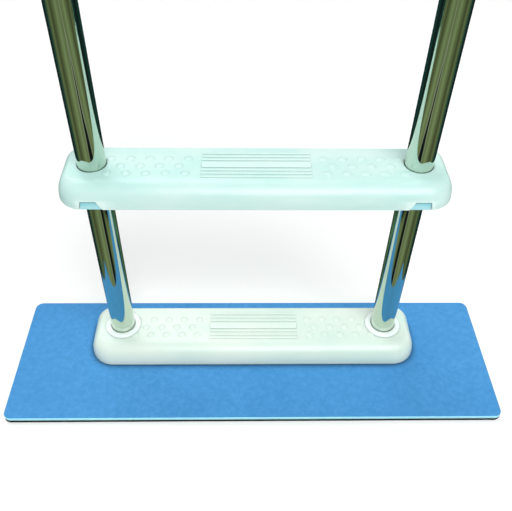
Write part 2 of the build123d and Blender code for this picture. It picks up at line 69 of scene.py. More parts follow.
# ------------------------------------------------------------------ material helpers
class Nodes:
    """A small wrapper that adds nodes to a new material and links them."""

    def __init__(self, name):
        self.material = bpy.data.materials.new(name)
        self.material.use_nodes = True
        self.tree = self.material.node_tree
        self.shader = self.tree.nodes["Principled BSDF"]
        self.coords = self.tree.nodes.new("ShaderNodeTexCoord").outputs["Object"]

    def add(self, kind, **values):
        """Makes a node. Lower-case names set its properties, and other names set its inputs."""
        node = self.tree.nodes.new(kind)
        for key, value in values.items():
            if key in node.inputs.keys():
                self.put(node.inputs[key], value)
            else:
                setattr(node, key, value)
        return node

    def put(self, socket, value):
        if isinstance(value, bpy.types.NodeSocket):
            self.tree.links.new(value, socket)
        else:
            socket.default_value = value

    def set(self, **values):
        for key, value in values.items():
            self.put(self.shader.inputs[key.replace("_", " ")], value)

    def noise(self, scale, detail=3.0, stretch=(1, 1, 1), roughness=0.5):
        mapped = self.add("ShaderNodeMapping", Vector=self.coords, Scale=stretch).outputs["Vector"]
        node = self.add("ShaderNodeTexNoise", Vector=mapped, Scale=scale, Detail=detail, Roughness=roughness)
        return node.outputs["Fac"]

    def ramp(self, factor, stops):
        node = self.add("ShaderNodeValToRGB", Fac=factor)
        elements = node.color_ramp.elements
        while len(elements) < len(stops):
            elements.new(0.5)
        for element, (place, colour) in zip(elements, stops):
            element.position = place
            element.color = (*colour, 1.0)
        return node.outputs["Color"]

    def mix(self, factor, one, two, blend="MIX"):
        node = self.add("ShaderNodeMix", data_type="RGBA", blend_type=blend)
        self.put(node.inputs["Factor"], factor)
        for index, value in ((6, one), (7, two)):
            self.put(node.inputs[index], value if isinstance(value, bpy.types.NodeSocket) else (*value, 1.0))
        return node.outputs[2]

    def math(self, operation, one, two=0.0):
        node = self.add("ShaderNodeMath", operation=operation)
        self.put(node.inputs[0], one)
        self.put(node.inputs[1], two)
        return node.outputs[0]

    def span(self, factor, low, high):
        """Maps 0..1 to low..high."""
        node = self.add("ShaderNodeMapRange", Value=factor)
        self.put(node.inputs["To Min"], low)
        self.put(node.inputs["To Max"], high)
        return node.outputs["Result"]

    def window(self, factor, low, high):
        """0 below low, 1 above high, and a straight slope between."""
        node = self.add("ShaderNodeMapRange", Value=factor)
        self.put(node.inputs["From Min"], low)
        self.put(node.inputs["From Max"], high)
        return node.outputs["Result"]

    def edges(self, low, high):
        """1 on convex edges, 0 elsewhere."""
        point = self.add("ShaderNodeNewGeometry").outputs["Pointiness"]
        return self.window(point, low, high)

    def occlusion_shade(self, reach):
        """0 on open faces, up to 1 in grooves and close under other pieces; the materials paint shade with
        it.
        """
        shelter = self.add("ShaderNodeAmbientOcclusion", samples=8, Distance=reach).outputs["AO"]
        return self.math("SUBTRACT", 1.0, shelter)

    def bump(self, *layers):
        """Stacks (height, distance, strength) layers and feeds the shader's normal."""
        normal = None
        for height, distance, strength in layers:
            node = self.add("ShaderNodeBump", Height=height, Distance=distance, Strength=strength)
            if normal:
                self.put(node.inputs["Normal"], normal)
            normal = node.outputs["Normal"]
        self.set(Normal=normal)


# ------------------------------------------------------------------ materials
def moulded_plastic(name, base, shade, roughness=0.30, grain=0.25, edge_wear_and_highlight=(0.93, 0.97, 0.95)):
    """Smooth moulded plastic: faint colour clouds, fine grain, scuffs, convex edges lightened (partly wear,
    partly a painted highlight) and painted shade in grooves.
    """
    m = Nodes(name)
    clouds = m.noise(7.0, 4.0, (1.0, 2.4, 2.4))
    colour = m.mix(m.window(clouds, 0.36, 0.66), base, shade)
    specks = m.window(m.noise(420.0, 2.0), 0.62, 0.74)
    colour = m.mix(m.math("MULTIPLY", specks, 0.10), colour, (0.55, 0.62, 0.60))
    # convex edges and rib tops lightened: partly edge wear, partly a painted highlight
    colour = m.mix(m.math("MULTIPLY", m.edges(0.505, 0.56), 0.40), colour, edge_wear_and_highlight)
    # painted shade: ambient occlusion darkens the colour in grooves and close under other pieces
    hollow = m.window(m.occlusion_shade(0.004), 0.04, 0.50)
    colour = m.mix(m.math("MULTIPLY", hollow, 0.60), colour, tuple(0.42 * value for value in shade))
    scuffs = m.window(m.noise(60.0, 5.0, (0.35, 1.0, 1.0)), 0.52, 0.72)
    m.set(Base_Color=colour, Roughness=m.span(scuffs, roughness, roughness + 0.16))
    m.set(Subsurface_Weight=0.06, Subsurface_Radius=(0.004, 0.005, 0.005), Specular_IOR_Level=0.42)
    m.set(Coat_Weight=0.10, Coat_Roughness=0.18)
    m.bump((m.noise(900.0, 2.0), 0.00006, grain), (m.noise(14.0, 2.0), 0.0006, 0.05))
    return m.material


def polished_steel():
    """Mirror-polished stainless tube: fine polishing lines along its length, and faint dull water marks."""
    m = Nodes("polished_stainless")
    tone = m.noise(9.0, 4.0, (1.0, 1.0, 0.35))
    colour = m.mix(m.window(tone, 0.35, 0.70), (0.68, 0.76, 0.66), (0.58, 0.66, 0.57))
    marks = m.window(m.noise(38.0, 6.0, (1.0, 1.0, 0.5), 0.62), 0.56, 0.72)
    lines = m.noise(700.0, 2.0, (1.0, 1.0, 0.015))
    rough = m.math("ADD", m.span(marks, 0.035, 0.12), m.span(lines, 0.0, 0.03))
    m.set(Base_Color=colour, Metallic=1.0, Roughness=rough)
    m.bump((lines, 0.00002, 0.16), (m.noise(22.0, 2.0), 0.0004, 0.03))
    return m.material


def satin_steel(name, tint, roughness, grain_scale):
    """Satin stainless: cast or brushed grain, darker in the pores, brighter where edges are rubbed."""
    m = Nodes(name)
    grain = m.noise(grain_scale, 5.0)
    dark = tuple(0.72 * value for value in tint)
    colour = m.mix(m.window(grain, 0.35, 0.65), dark, tint)
    colour = m.mix(m.math("MULTIPLY", m.edges(0.52, 0.62), 0.6), colour, (0.88, 0.89, 0.88))
    stains = m.window(m.noise(30.0, 4.0), 0.5, 0.7)
    m.set(Base_Color=colour, Metallic=1.0, Roughness=m.span(stains, roughness, roughness + 0.15))
    m.bump((grain, 0.0001, 0.35))
    return m.material


def black_rubber(name, grain_scale=260.0):
    m = Nodes(name)
    grain = m.noise(grain_scale, 5.0, roughness=0.7)
    dust = m.window(m.noise(18.0, 5.0), 0.48, 0.72)
    colour = m.mix(m.window(grain, 0.3, 0.7), (0.006, 0.007, 0.009), (0.020, 0.022, 0.026))
    colour = m.mix(m.math("MULTIPLY", dust, 0.25), colour, (0.06, 0.07, 0.08))
    m.set(Base_Color=colour, Roughness=0.72, Specular_IOR_Level=0.3)
    m.bump((grain, 0.0003, 0.5))
    return m.material


def foam(name, base, light, dark):
    """Closed-cell foam: a fine pebbled skin with a mottled blue, and a painted contact shadow close under
    other pieces.
    """
    m = Nodes(name)
    mottle = m.window(m.noise(120.0, 4.0, roughness=0.65), 0.34, 0.70)
    broad = m.window(m.noise(6.0, 3.0), 0.35, 0.68)
    colour = m.mix(mottle, base, light)
    colour = m.mix(m.math("MULTIPLY", broad, 0.30), colour, dark)
    # painted shadow: ambient occlusion darkens the foam round the tread's foot and under other pieces
    contact_shadow = m.window(m.occlusion_shade(0.014), 0.10, 0.55)
    colour = m.mix(m.math("MULTIPLY", contact_shadow, 0.85), colour, tuple(0.12 * value for value in dark))
    cells = m.add("ShaderNodeTexVoronoi", Vector=m.coords, Scale=620.0).outputs["Distance"]
    colour = m.mix(m.math("MULTIPLY", m.window(cells, 0.45, 0.8), 0.18), colour, dark)
    m.set(Base_Color=colour, Roughness=0.82, Specular_IOR_Level=0.22, Sheen_Weight=0.12, Sheen_Roughness=0.5)
    m.bump((cells, 0.0003, 0.45), (m.noise(90.0, 4.0), 0.0005, 0.30))
    return m.material


MATERIALS = {
    "tread_plastic": moulded_plastic("tread_plastic", (0.57, 0.73, 0.70), (0.44, 0.68, 0.65),
                                     edge_wear_and_highlight=(0.86, 0.96, 0.93)),
    # painted light: a lighter, warmer copy of the tread plastic, for the floor tread that looks brighter
    "bottom_tread_lit_copy": moulded_plastic("bottom_tread_lit_copy", (0.68, 0.77, 0.70), (0.58, 0.73, 0.66),
                                    edge_wear_and_highlight=(0.90, 0.96, 0.90)),
    "collar_plastic": moulded_plastic("collar_plastic", (0.84, 0.92, 0.90), (0.76, 0.89, 0.87), 0.26),
    # painted shade: the clamps are white plastic, and this darker aqua stands for their faces in shadow
    # inside the tread notches
    "clamp_plastic": moulded_plastic("clamp_plastic", (0.26, 0.62, 0.68), (0.22, 0.55, 0.62), 0.40, 0.5,
                                     (0.55, 0.85, 0.90)),
    "pale_clamp": moulded_plastic("pale_clamp", (0.72, 0.80, 0.73), (0.62, 0.77, 0.70), 0.40, 0.5),
    "bush_plastic": moulded_plastic("bush_plastic", (0.74, 0.72, 0.62), (0.68, 0.66, 0.56), 0.45, 0.4),
    "rail_steel": polished_steel(),
    "sleeve_steel": satin_steel("sleeve_steel", (0.60, 0.61, 0.60), 0.30, 300.0),
    "flange_steel": satin_steel("flange_steel", (0.68, 0.69, 0.68), 0.24, 420.0),
    "pin_steel": satin_steel("pin_steel", (0.64, 0.65, 0.65), 0.20, 600.0),
    "fastener_steel": satin_steel("fastener_steel", (0.62, 0.63, 0.63), 0.22, 700.0),
    "plug_plastic": black_rubber("plug_plastic", 500.0),
    "gasket_rubber": black_rubber("gasket_rubber"),
    # painted shadow: this black rubber is for the backing sheet that stands for the shadow line under the
    # mat's edge
    "mat_backing": black_rubber("mat_backing", 340.0),
    "mat_foam": foam("mat_foam", (0.050, 0.255, 0.550), (0.075, 0.305, 0.640), (0.032, 0.200, 0.480)),
    # painted light: a much lighter copy of the blue foam for the mat's side faces, standing for the light
    # that falls on them
    "mat_edge_painted_light": foam("mat_edge_painted_light", (0.36, 0.80, 0.95), (0.46, 0.90, 1.00), (0.28, 0.68, 0.88)),
}
for entry in frame["record"]["subparts"]:
    node_mesh = frame["nodes"][entry["node"]].data
    node_mesh.materials.clear()
    pale = entry["node"].startswith("tread_bottom_clamp")
    node_mesh.materials.append(MATERIALS["pale_clamp" if pale else entry["material_slot"]])


# ------------------------------------------------------------------ mesh helpers
def new_object(name, mesh, slot, body, *nodes):
    """Wraps a finished mesh as a piece that rides on a body and stands for CAD nodes."""
    piece = bpy.data.objects.new(name, mesh)
    bpy.context.collection.objects.link(piece)
    mesh.materials.append(MATERIALS[slot])
    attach(piece, body)
    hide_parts(*nodes)
    return piece


def skin_rings(name, rings, closed_tube=False):
    """A closed mesh through rings of equal point counts.

    A closed tube's last ring joins its first, and any other form gets flat caps.
    """
    bm = bmesh.new()
    layers = [[bm.verts.new(point) for point in ring] for ring in rings]
    count = len(layers[0])
    pairs = list(zip(layers, layers[1:]))
    if closed_tube:
        pairs.append((layers[-1], layers[0]))
    for lower, upper in pairs:
        for k in range(count):
            after = (k + 1) % count
            bm.faces.new((lower[k], lower[after], upper[after], upper[k]))
    if not closed_tube:
        bm.faces.new(layers[0])
        bm.faces.new(layers[-1])
    bmesh.ops.recalc_face_normals(bm, faces=bm.faces)
    mesh = bpy.data.meshes.new(name)
    bm.to_mesh(mesh)
    bm.free()
    return mesh


def join_meshes(name, meshes):
    """One mesh that holds several."""
    bm = bmesh.new()
    for mesh in meshes:
        bm.from_mesh(mesh)
    joined = bpy.data.meshes.new(name)
    bm.to_mesh(joined)
    bm.free()
    return joined


def combine(mesh, other, operation):
    """The exact union, difference or intersection of two closed meshes."""
    body = bpy.data.objects.new("boolean_body", mesh)
    tool = bpy.data.objects.new("boolean_tool", other)
    for item in (body, tool):
        bpy.context.collection.objects.link(item)
    modifier = body.modifiers.new("boolean", "BOOLEAN")
    modifier.operation, modifier.object, modifier.solver = operation, tool, "EXACT"
    graph = bpy.context.evaluated_depsgraph_get()
    result = bpy.data.meshes.new_from_object(body.evaluated_get(graph))
    for item in (body, tool):
        bpy.data.objects.remove(item)
    return result


def clean(mesh):
    """Closes up slivers that booleans leave, so that the mesh is valid."""
    bm = bmesh.new()
    bm.from_mesh(mesh)
    bmesh.ops.remove_doubles(bm, verts=bm.verts, dist=WELD)
    bmesh.ops.dissolve_degenerate(bm, edges=bm.edges, dist=WELD)
    bmesh.ops.triangulate(bm, faces=[face for face in bm.faces if len(face.verts) > 4])
    bm.to_mesh(mesh)
    bm.free()
    mesh.validate()


def smooth(piece, angle):
    """Smooth shading with creases over an angle, weighted so that flat faces stay flat."""
    mesh = piece.data
    mesh.polygons.foreach_set("use_smooth", [True] * len(mesh.polygons))
    mesh.set_sharp_from_angle(angle=radians(angle))
    weighted = piece.modifiers.new("weighted_normals", "WEIGHTED_NORMAL")
    weighted.keep_sharp = True
    weighted.weight = 80


def rounded_outline(half_x, front, back, front_corner, back_corner, z, arc=14, side=30):
    """A closed plan outline with elliptical corners; front and back are its lowest and highest y."""
    corners = (
        (half_x - front_corner[0], front + front_corner[1], front_corner, -90),
        (half_x - back_corner[0], back - back_corner[1], back_corner, 0),
        (-half_x + back_corner[0], back - back_corner[1], back_corner, 90),
        (-half_x + front_corner[0], front + front_corner[1], front_corner, 180),
    )
    points = []
    for index, (cx, cy, (rx, ry), start) in enumerate(corners):
        for k in range(arc + 1):
            angle = radians(start + 90 * k / arc)
            points.append(Vector((cx + rx * cos(angle), cy + ry * sin(angle), z)))
        nx, ny, (rx, ry), start = corners[(index + 1) % 4]
        angle = radians(start)
        goal = Vector((nx + rx * cos(angle), ny + ry * sin(angle), z))
        last = points[-1].copy()
        steps = side if index in (1, 3) else side // 4
        points.extend(last.lerp(goal, k / steps) for k in range(1, steps))
    return points


def circle(centre, radius, z, count=64):
    """Points round a level circle."""
    turns = (2 * pi * k / count for k in range(count))
    return [Vector((centre[0] + radius * cos(t), centre[1] + radius * sin(t), z)) for t in turns]


def turned(name, centre, profile, count=64):
    """A closed lathe form about a vertical axis, from (radius, z) pairs."""
    return skin_rings(name, [circle(centre, radius, z, count) for radius, z in profile])


def block(name, x, y, z):
    """A plain rectangular cutter from (low, high) pairs."""
    ring = [(x[0], y[0]), (x[1], y[0]), (x[1], y[1]), (x[0], y[1])]
    return skin_rings(name, [[Vector((px, py, height)) for px, py in ring] for height in z])


# ------------------------------------------------------------------ treads
TREAD_NOSE, TREAD_END, TREAD_BACK = 28 * MM, 14 * MM, 3 * MM
TREAD_FRONT_CORNER, TREAD_BACK_CORNER = (38 * MM, 38 * MM), (20 * MM, 16 * MM)
TREAD_SKIN, TREAD_TOP_SKIN = 3.2 * MM, 4.0 * MM
BUMP_RADIUS, BUMP_RISE = 6.5 * MM, 1.6 * MM
BUMP_PITCH = 25.4 * MM
BUMP_ROWS = ((10.7, 5, 90.0), (-5.5, 4, 101.5), (-21.7, 5, 92.5))
RIB_CENTRE, RIB_HALF_LENGTH, RIB_HALF_WIDTH, RIB_RISE = -3 * MM, 72.5 * MM, 1.8 * MM, 1.5 * MM
RIB_OFFSETS = (11.3, 18.5, 25.7)
BAND_HALF_WIDTH = 6 * MM
NOTCH_IN, NOTCH_OUT, NOTCH_RISE, NOTCH_SLOPE, NOTCH_DRAFT = 11 * MM, 9 * MM, 11.5 * MM, 10 * MM, 2 * MM
POCKET_HALF, POCKET_TOP, POCKET_BACK = 15.3 * MM, 6.2 * MM, -9 * MM
BOSS_RADIUS = 26 * MM
WEB_HALF = 1.2 * MM
WEB_X = (0.0, 62.0, 124.0, 180.0)
WEB_Y = (-24.0, 12.0)
WEB_DEPTH = 26 * MM
BOLT_DROP, BOLT_HOLE = 15 * MM, 3.25 * MM
ROUND_STEPS = 16
COLLAR_SLEEVE_HOLE, COLLAR_SEAT_GAP, RAIL_HOLE_GAP = 22.7 * MM, 0.4 * MM, 0.55 * MM


def tread_rings(half_x, front, back, top, bottom, skin):
    """Rings of the tread's rounded block from its flat top down, inset by a skin thickness."""
    nose, end, rear = TREAD_NOSE - skin, TREAD_END - skin, max(TREAD_BACK - skin, 0.0)
    rise = top - bottom - 1 * MM
    rings = []
    for step in range(ROUND_STEPS + 1):
        angle = radians(90 * step / ROUND_STEPS)
        share = 1 - sin(angle)
        ends, fronts, rears = skin + end * share, skin + nose * share, skin + rear * share
        front_corner = (TREAD_FRONT_CORNER[0] - ends, TREAD_FRONT_CORNER[1] - fronts)
        back_corner = (TREAD_BACK_CORNER[0] - ends, TREAD_BACK_CORNER[1] - rears)
        height = top - rise * (1 - cos(angle))
        edges = (half_x - ends, front + fronts, back - rears)
        rings.append(rounded_outline(*edges, front_corner, back_corner, height))
    return rings


def lip_ring(half_x, front, back, inset, z):
    front_corner = (TREAD_FRONT_CORNER[0] - inset, TREAD_FRONT_CORNER[1] - inset)
    back_corner = (TREAD_BACK_CORNER[0] - inset, TREAD_BACK_CORNER[1] - inset)
    return rounded_outline(half_x - inset, front + inset, back - inset, front_corner, back_corner, z)


def bump(x, y):
    """A low dome with a soft foot; it reaches a little below the surface that it stands on."""
    foot, foot_rise = 0.5 * MM, 0.3 * MM
    profile = [(BUMP_RADIUS, -1 * MM), (BUMP_RADIUS, 0.02 * MM), (BUMP_RADIUS - foot, 0.16 * MM)]
    dome_radius, dome_rise = BUMP_RADIUS - 2 * foot, BUMP_RISE - foot_rise
    for step in range(1, 9):
        angle = radians(90 * step / 9)
        profile.append((dome_radius * cos(angle), foot_rise + dome_rise * sin(angle)))
    profile.append((0.05 * MM, BUMP_RISE))
    return turned("bump", (x, y), profile, 32)


def rib(y, half_width, rise, flat):
    """A bar along x with a rounded back and rounded ends; flat is the share of its width that is level."""
    stations = [(-1.0, 0.0), (-0.998, 0.35), (-0.993, 0.7), (-0.985, 0.93), (-0.975, 1.0)]
    stations += [(k / 10 - 0.9, 1.0) for k in range(19)]
    stations += [(-place, scale) for place, scale in reversed(stations[:5])]
    section = []
    for step in range(13):
        angle = pi * step / 12
        level = half_width * (flat * (1 if angle < pi / 2 else -1) + (1 - flat) * cos(angle))
        section.append((0.0 if step == 6 else level, rise * sin(angle)))
    rings = []
    for place, scale in stations:
        x, across, up = place * RIB_HALF_LENGTH, max(scale, 0.12), max(scale, 0.02)
        ring = [Vector((x, y + across * dy, up * dz)) for dy, dz in section]
        ring += [Vector((x, y - across * half_width, -MM)), Vector((x, y + across * half_width, -MM))]
        rings.append(ring)
    return skin_rings("rib", rings)


def grip_features():
    """Ribs, flat band and both fields of bumps, with the tread's top at z 0."""
    pieces = [rib(RIB_CENTRE, BAND_HALF_WIDTH, RIB_RISE, 0.8)]
    for offset in RIB_OFFSETS:
        for side in (-1, 1):
            pieces.append(rib(RIB_CENTRE + side * offset * MM, RIB_HALF_WIDTH, RIB_RISE, 0.0))
    for row_y, count, first_x in BUMP_ROWS:
        for k in range(count):
            for side in (-1, 1):
                pieces.append(bump(side * (first_x * MM + k * BUMP_PITCH), row_y * MM))
    return join_meshes("grip", pieces)


def notch_cutter(side, rail_x, front, bottom):
    """The trapezoid opening in the front skirt below a rail."""
    inner, outer = rail_x - NOTCH_IN, rail_x + NOTCH_OUT
    high, low = bottom + NOTCH_RISE, bottom - 2 * MM
    corners = [(inner, high), (outer, high), (outer + NOTCH_DRAFT, low), (inner - NOTCH_SLOPE, low)]
    rings = [[Vector((side * x, y, z)) for x, z in corners] for y in (front - 5 * MM, front + 12 * MM)]
    return skin_rings("notch", rings)


def across_cylinder(name, x, y, z, radius, count=24):
    """A cylinder along y between two y values."""
    rings = [[Vector((x + p.x, depth, z + p.y)) for p in circle((0, 0), radius, 0, count)] for depth in y]
    return skin_rings(name, rings)


def tread_cutters(cavity, rail_x, rail_hole, seat, front, back, top, bottom):
    """Rail holes with eased rims, clamp pockets and bolt holes, and a collar's seats or else the notches."""
    ease = 0.8 * MM
    cutters = []
    for side in (-1, 1):
        centre = (side * rail_x, 0.0)
        turns = [radians(15 * k) for k in range(7)]
        rim = [(rail_hole + ease * (1 - sin(t)), top - ease * (1 - cos(t))) for t in turns]
        profile = [(rail_hole + ease, top + 4 * MM)] + rim + [(rail_hole, bottom - 2 * MM)]
        cutters.append(turned("rail_hole", centre, profile, 72))
        across = (side * rail_x - POCKET_HALF, side * rail_x + POCKET_HALF)
        pocket = block("pocket", across, (front, POCKET_BACK), (bottom - MM, top - POCKET_TOP))
        cutters.append(combine(pocket, cavity.copy(), "INTERSECT"))
        reach = (10 * MM, back + 5 * MM)
        cutters.append(across_cylinder("bolt_hole", side * rail_x, reach, top - BOLT_DROP, BOLT_HOLE))
        if seat:
            cutters.append(turned("seat", centre, [(seat, top + 0.001 * MM), (seat, top + 5 * MM)], 64))
        else:
            cutters.append(notch_cutter(side, rail_x, front, bottom))
    return cutters


def inner_webs(cavity, rail_x, front, back, top):
    """Bosses and stiffening webs that fill part of the hollow underside."""
    low, high = top - WEB_DEPTH, top - 1 * MM
    webs = []
    for place in WEB_X:
        for side in ((-1, 1) if place else (1,)):
            x = side * place * MM
            webs.append(block("web", (x - WEB_HALF, x + WEB_HALF), (front, back), (low, high)))
    for place in WEB_Y:
        y = place * MM
        heights = (low + 0.5 * MM, high + 0.5 * MM)
        webs.append(block("web", (-rail_x, rail_x), (y - WEB_HALF, y + WEB_HALF), heights))
    for side in (-1, 1):
        profile = [(BOSS_RADIUS, low + MM), (BOSS_RADIUS, high - 0.5 * MM)]
        webs.append(turned("boss", (side * rail_x, 0), profile, 64))
    merged = webs[0]
    for web in webs[1:]:
        merged = combine(merged, web, "UNION")
    return combine(merged, cavity, "INTERSECT")


def tread_mesh(node, rail_hole, seat):
    """A tread as a thin moulded shell with webs below and its grip pattern on top."""
    low, high = node_box(node)
    half_x, front, back = high.x, low.y, high.y
    top, bottom = high.z - BUMP_RISE, low.z
    rail_x = rail_axis("right")[0].x
    outer = tread_rings(half_x, front, back, top, bottom, 0.0)
    hollow = tread_rings(half_x, front, back, top - TREAD_TOP_SKIN, bottom, TREAD_SKIN)
    lip = [(0.2, 0.3), (0.7, 0.0), (2.5, 0.0), (3.1, 0.4)]
    rim = [lip_ring(half_x, front, back, inset * MM, bottom + rise * MM) for inset, rise in lip]
    shell = skin_rings("shell", outer + rim + hollow[::-1])
    filler = tread_rings(half_x, front, back, top - TREAD_TOP_SKIN + 0.5 * MM, bottom, TREAD_SKIN - 0.5 * MM)
    below = lip_ring(half_x, front, back, TREAD_SKIN - 0.5 * MM, bottom - 5 * MM)
    cavity = skin_rings("cavity", filler + [below])
    room = skin_rings("room", hollow + [lip_ring(half_x, front, back, TREAD_SKIN, bottom - 5 * MM)])
    shell = combine(shell, inner_webs(cavity, rail_x, front, back, top), "UNION")
    grip = grip_features()
    grip.transform(Matrix.Translation((0, 0, top)))
    shell = combine(shell, grip, "UNION")
    for cutter in tread_cutters(room, rail_x, rail_hole, seat, front, back, top, bottom):
        shell = combine(shell, cutter, "DIFFERENCE")
    clean(shell)
    shell.name = node
    return shell


def treads():
    """The four treads: one form for the floor tread, and one shared by the others."""
    tube_r = rail_axis("right")[1]
    collar_low, collar_high = node_box("foot_collar_right")
    collar_r = (collar_high.x - collar_low.x) / 2
    seated = tread_mesh("tread_bottom", COLLAR_SLEEVE_HOLE, collar_r + COLLAR_SEAT_GAP)
    plain = tread_mesh("tread_2", tube_r + RAIL_HOLE_GAP, 0.0)
    floor_z = node_box("tread_2")[0].z
    for node in TREADS:
        mesh = seated if node == "tread_bottom" else plain.copy()
        if mesh is not seated:
            mesh.transform(Matrix.Translation((0, 0, node_box(node)[0].z - floor_z)))
        piece = new_object(f"{node}_shell", mesh, "tread_plastic", "ladder", node)
        # the floor tread takes the lighter copy of the tread plastic, a painted light
        if mesh is seated:
            mesh.materials[0] = MATERIALS["bottom_tread_lit_copy"]
        smooth(piece, 32)


# ------------------------------------------------------------------ rails
TUBE_WALL = 1.5 * MM
TUBE_CHAMFER = 0.5 * MM
TUBE_SIDES = 96
BEND_STEPS = 60
CROSS_HOLE = 3.25 * MM
BUSH_HOLE = 7.52 * MM
JOINT_BOLT_SPACING = 80 * MM


def tube_mesh(name, path, radius):
    """A hollow tube with eased ends along (point, direction) stations that lie in one plane across x."""
    across = Vector((1, 0, 0))
    inner = radius - TUBE_WALL

    def ring(point, direction, size):
        up = direction.cross(across)
        turns = (2 * pi * k / TUBE_SIDES for k in range(TUBE_SIDES))
        return [point + size * (cos(t) * across + sin(t) * up) for t in turns]

    (start, start_way), (end, end_way) = path[0], path[-1]
    ease = TUBE_CHAMFER
    outside = [ring(start, start_way, radius - ease), ring(start + ease * start_way, start_way, radius)]
    outside += [ring(point, way, radius) for point, way in path[1:-1]]
    outside += [ring(end - ease * end_way, end_way, radius), ring(end, end_way, radius - ease)]
    inside = [ring(point, way, inner) for point, way in reversed(path)]
    return skin_rings(name, outside + inside, closed_tube=True)


def straight(start, end, spacing):
    """Stations along a straight run, both ends included."""
    way = (end - start).normalized()
    count = max(2, round((end - start).length / spacing))
    return [(start.lerp(end, k / count), way) for k in range(count + 1)]


def cross_drill(mesh, x, y, z, radius, along_x):
    """A hole right across a rail, along x or y."""
    reach = 30 * MM
    cutter = across_cylinder("drill", x, (y - reach, y + reach), z, radius)
    if along_x:
        centre = Vector((x, y, z))
        turn = Matrix.Translation(centre) @ Matrix.Rotation(pi / 2, 4, "Z") @ Matrix.Translation(-centre)
        cutter.transform(turn)
    drilled = combine(mesh, cutter, "DIFFERENCE")
    clean(drilled)
    return drilled


def node_centre(node):
    low, high = node_box(node)
    return (low + high) / 2


def lower_rails():
    """The straight in-pool tubes, drilled for the tread bolts and the joint bolt."""
    for side in SIDES:
        low, high = node_box(f"lower_rail_{side}")
        axis, radius = rail_axis(side)
        start, end = Vector((axis.x, axis.y, low.z)), Vector((axis.x, axis.y, high.z))
        mesh = tube_mesh(f"lower_rail_{side}", straight(start, end, 40 * MM), radius)
        for tread in TREADS:
            bolt_z = node_centre(f"{tread}_bolts").z
            mesh = cross_drill(mesh, axis.x, axis.y, bolt_z, CROSS_HOLE, False)
        joint_low, joint_high = node_box(f"rail_joint_bolts_{side}")
        bolt_z = joint_low.z + (joint_high.z - joint_low.z - JOINT_BOLT_SPACING) / 2
        mesh = cross_drill(mesh, axis.x, axis.y, bolt_z, CROSS_HOLE, True)
        piece = new_object(f"lower_rail_tube_{side}", mesh, "rail_steel", "ladder", f"lower_rail_{side}")
        smooth(piece, 40)


def handrails():
    """Up from the joint, over a half-circle, and down to the hinge."""
    for side in SIDES:
        low, high = node_box(f"handrail_{side}")
        axis, radius = rail_axis(side)
        deck_y = high.y - radius
        bend = (deck_y - axis.y) / 2
        bend_z = high.z - radius - bend
        foot, top = Vector((axis.x, axis.y, low.z)), Vector((axis.x, axis.y, bend_z))
        deck_top = Vector((axis.x, deck_y, bend_z))
        deck_end = Vector((axis.x, deck_y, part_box(f"rail_end_cap_{side}")[0][2] + 2 * MM))
        path = straight(foot, top, 40 * MM)
        centre = Vector((axis.x, axis.y + bend, bend_z))
        for step in range(1, BEND_STEPS):
            angle = pi * step / BEND_STEPS
            point = centre + bend * Vector((0, -cos(angle), sin(angle)))
            path.append((point, Vector((0, sin(angle), cos(angle)))))
        path += straight(deck_top, deck_end, 40 * MM)
        mesh = tube_mesh(f"handrail_{side}", path, radius)
        joint_low, joint_high = node_box(f"rail_joint_bolts_{side}")
        bolt_z = joint_high.z - (joint_high.z - joint_low.z - JOINT_BOLT_SPACING) / 2
        mesh = cross_drill(mesh, axis.x, axis.y, bolt_z, CROSS_HOLE, True)
        pin = node_centre(f"hinge_bushes_{side}")
        mesh = cross_drill(mesh, axis.x, pin.y, pin.z, BUSH_HOLE, True)
        piece = new_object(f"handrail_tube_{side}", mesh, "rail_steel", "ladder", f"handrail_{side}")
        smooth(piece, 40)


# ------------------------------------------------------------------ floor mat
MAT_CORNER = 12 * MM
MAT_EDGE_ROUND = 1.4 * MM
MAT_RINGS = 16


def mat_outline(low, high, inset, z):
    """One ring of the mat; its corners tighten as it goes in."""
    corner = max(MAT_CORNER - inset, 1.5 * MM)
    half_x = (high.x - low.x) / 2 - inset
    corners = ((corner, corner), (corner, corner))
    return rounded_outline(half_x, low.y + inset, high.y - inset, *corners, z, 10, 96)


def mat_wave(x, y, tread_low, tread_high):
    """How far the foam's top lies below flat: slight waves, and a little crush under the bottom tread."""
    inside = min(tread_high.x - abs(x), y - tread_low.y, tread_high.y - y)
    crush = 0.45 * MM * min(max(inside / (4 * MM), 0.0), 1.0)
    wave = 0.16 * MM * (1 + sin(31 * x + 9 * y) * sin(23 * y - 7 * x))
    return crush + wave


